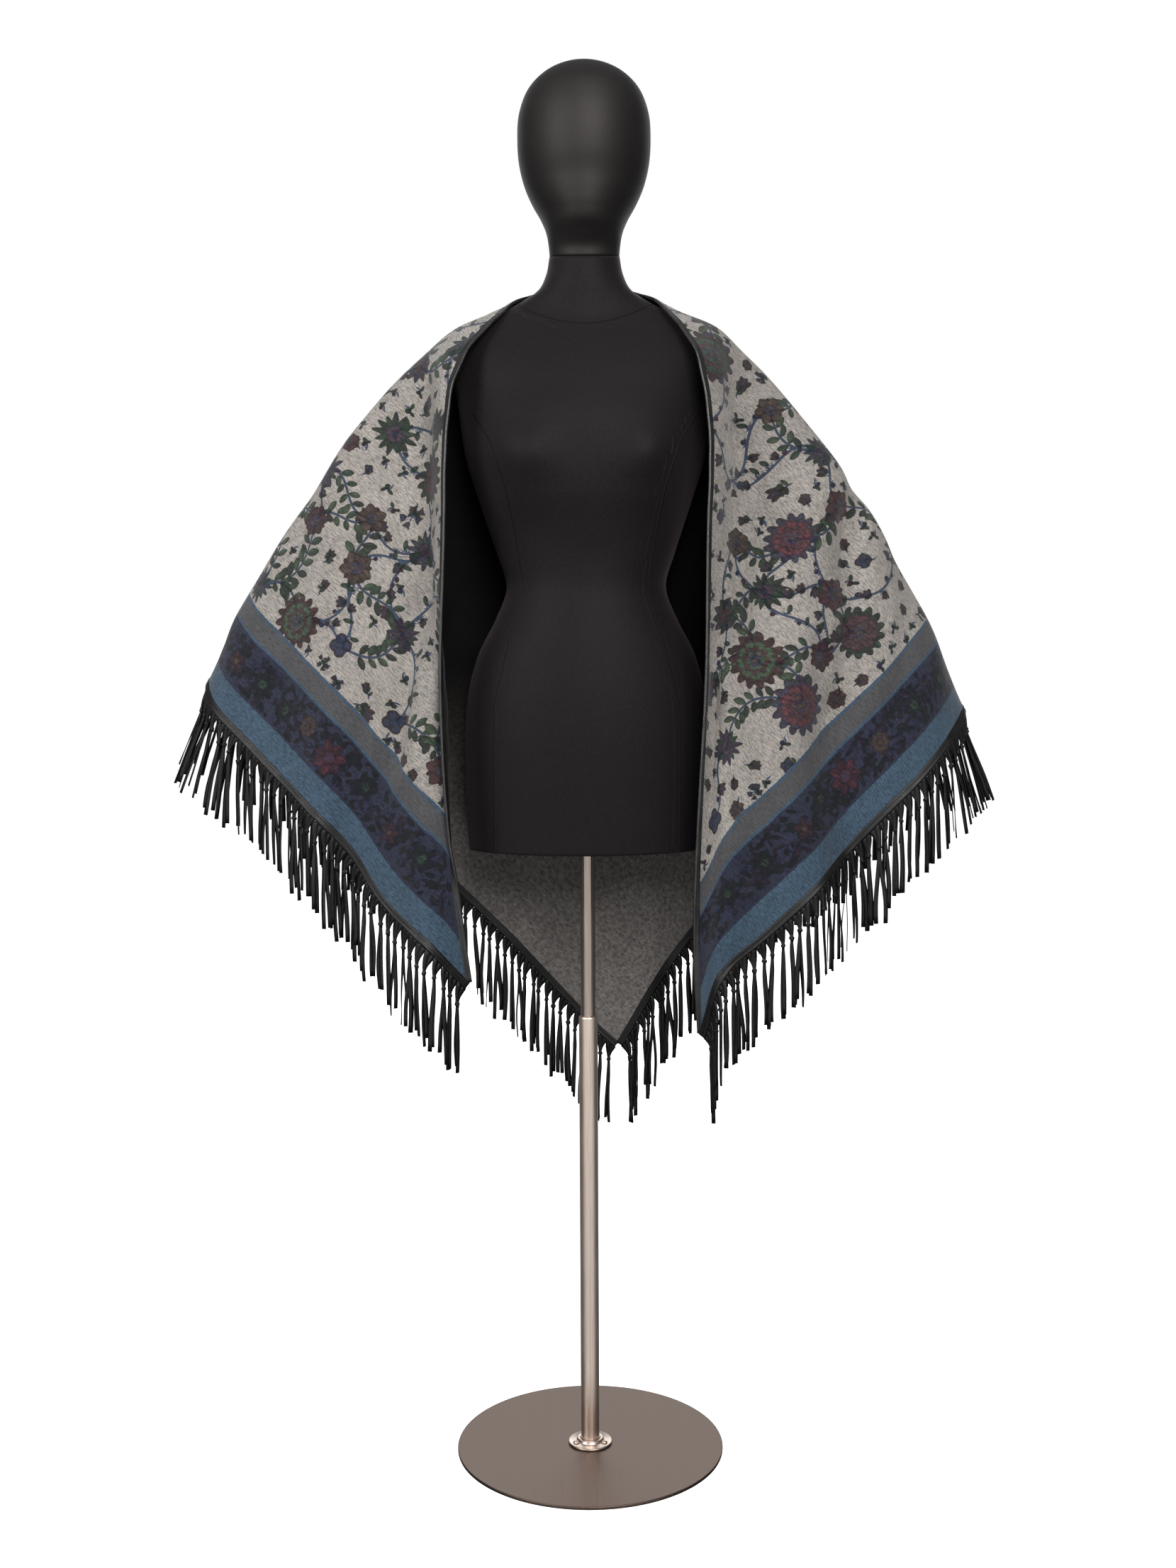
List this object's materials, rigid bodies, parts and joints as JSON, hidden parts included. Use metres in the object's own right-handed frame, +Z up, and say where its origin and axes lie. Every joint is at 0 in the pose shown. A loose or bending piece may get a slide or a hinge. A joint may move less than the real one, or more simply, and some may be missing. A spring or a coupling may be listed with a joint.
{
  "type": "cashmere shawl on a dress form",
  "caption": "Triangular printed shawl with bound edges and leather fringe, draped open over the shoulders of a headed limbless dress form on a round-based stand.",
  "frame": {"origin": "centre of the underside of the round base plate, on the floor", "axes": "+Z up along the stand, -Y the way the form faces, +X towards the right of the picture (the form's own left side)"},
  "size_m": [1.0161, 0.35, 1.777],
  "materials": {
    "printed_cloth": "matte",
    "edge_leather": "satin",
    "hem_leather": "satin",
    "fringe_leather": "satin",
    "form_jersey": "matte",
    "base_metal": "satin",
    "tube_metal": "polished"
  },
  "bodies": {
    "root": {"shawl_cloth": "printed_cloth", "edge_binding": "edge_leather", "hem_binding_left": "hem_leather", "hem_binding_right": "hem_leather", "fringe_left": "fringe_leather", "fringe_right": "fringe_leather", "torso": "form_jersey", "head": "form_jersey", "base_plate": "base_metal", "base_flange": "tube_metal", "flange_screw_1": "tube_metal", "flange_screw_2": "tube_metal", "flange_screw_3": "tube_metal", "lower_tube": "tube_metal", "upper_tube": "tube_metal"}
  },
  "joints": []
}
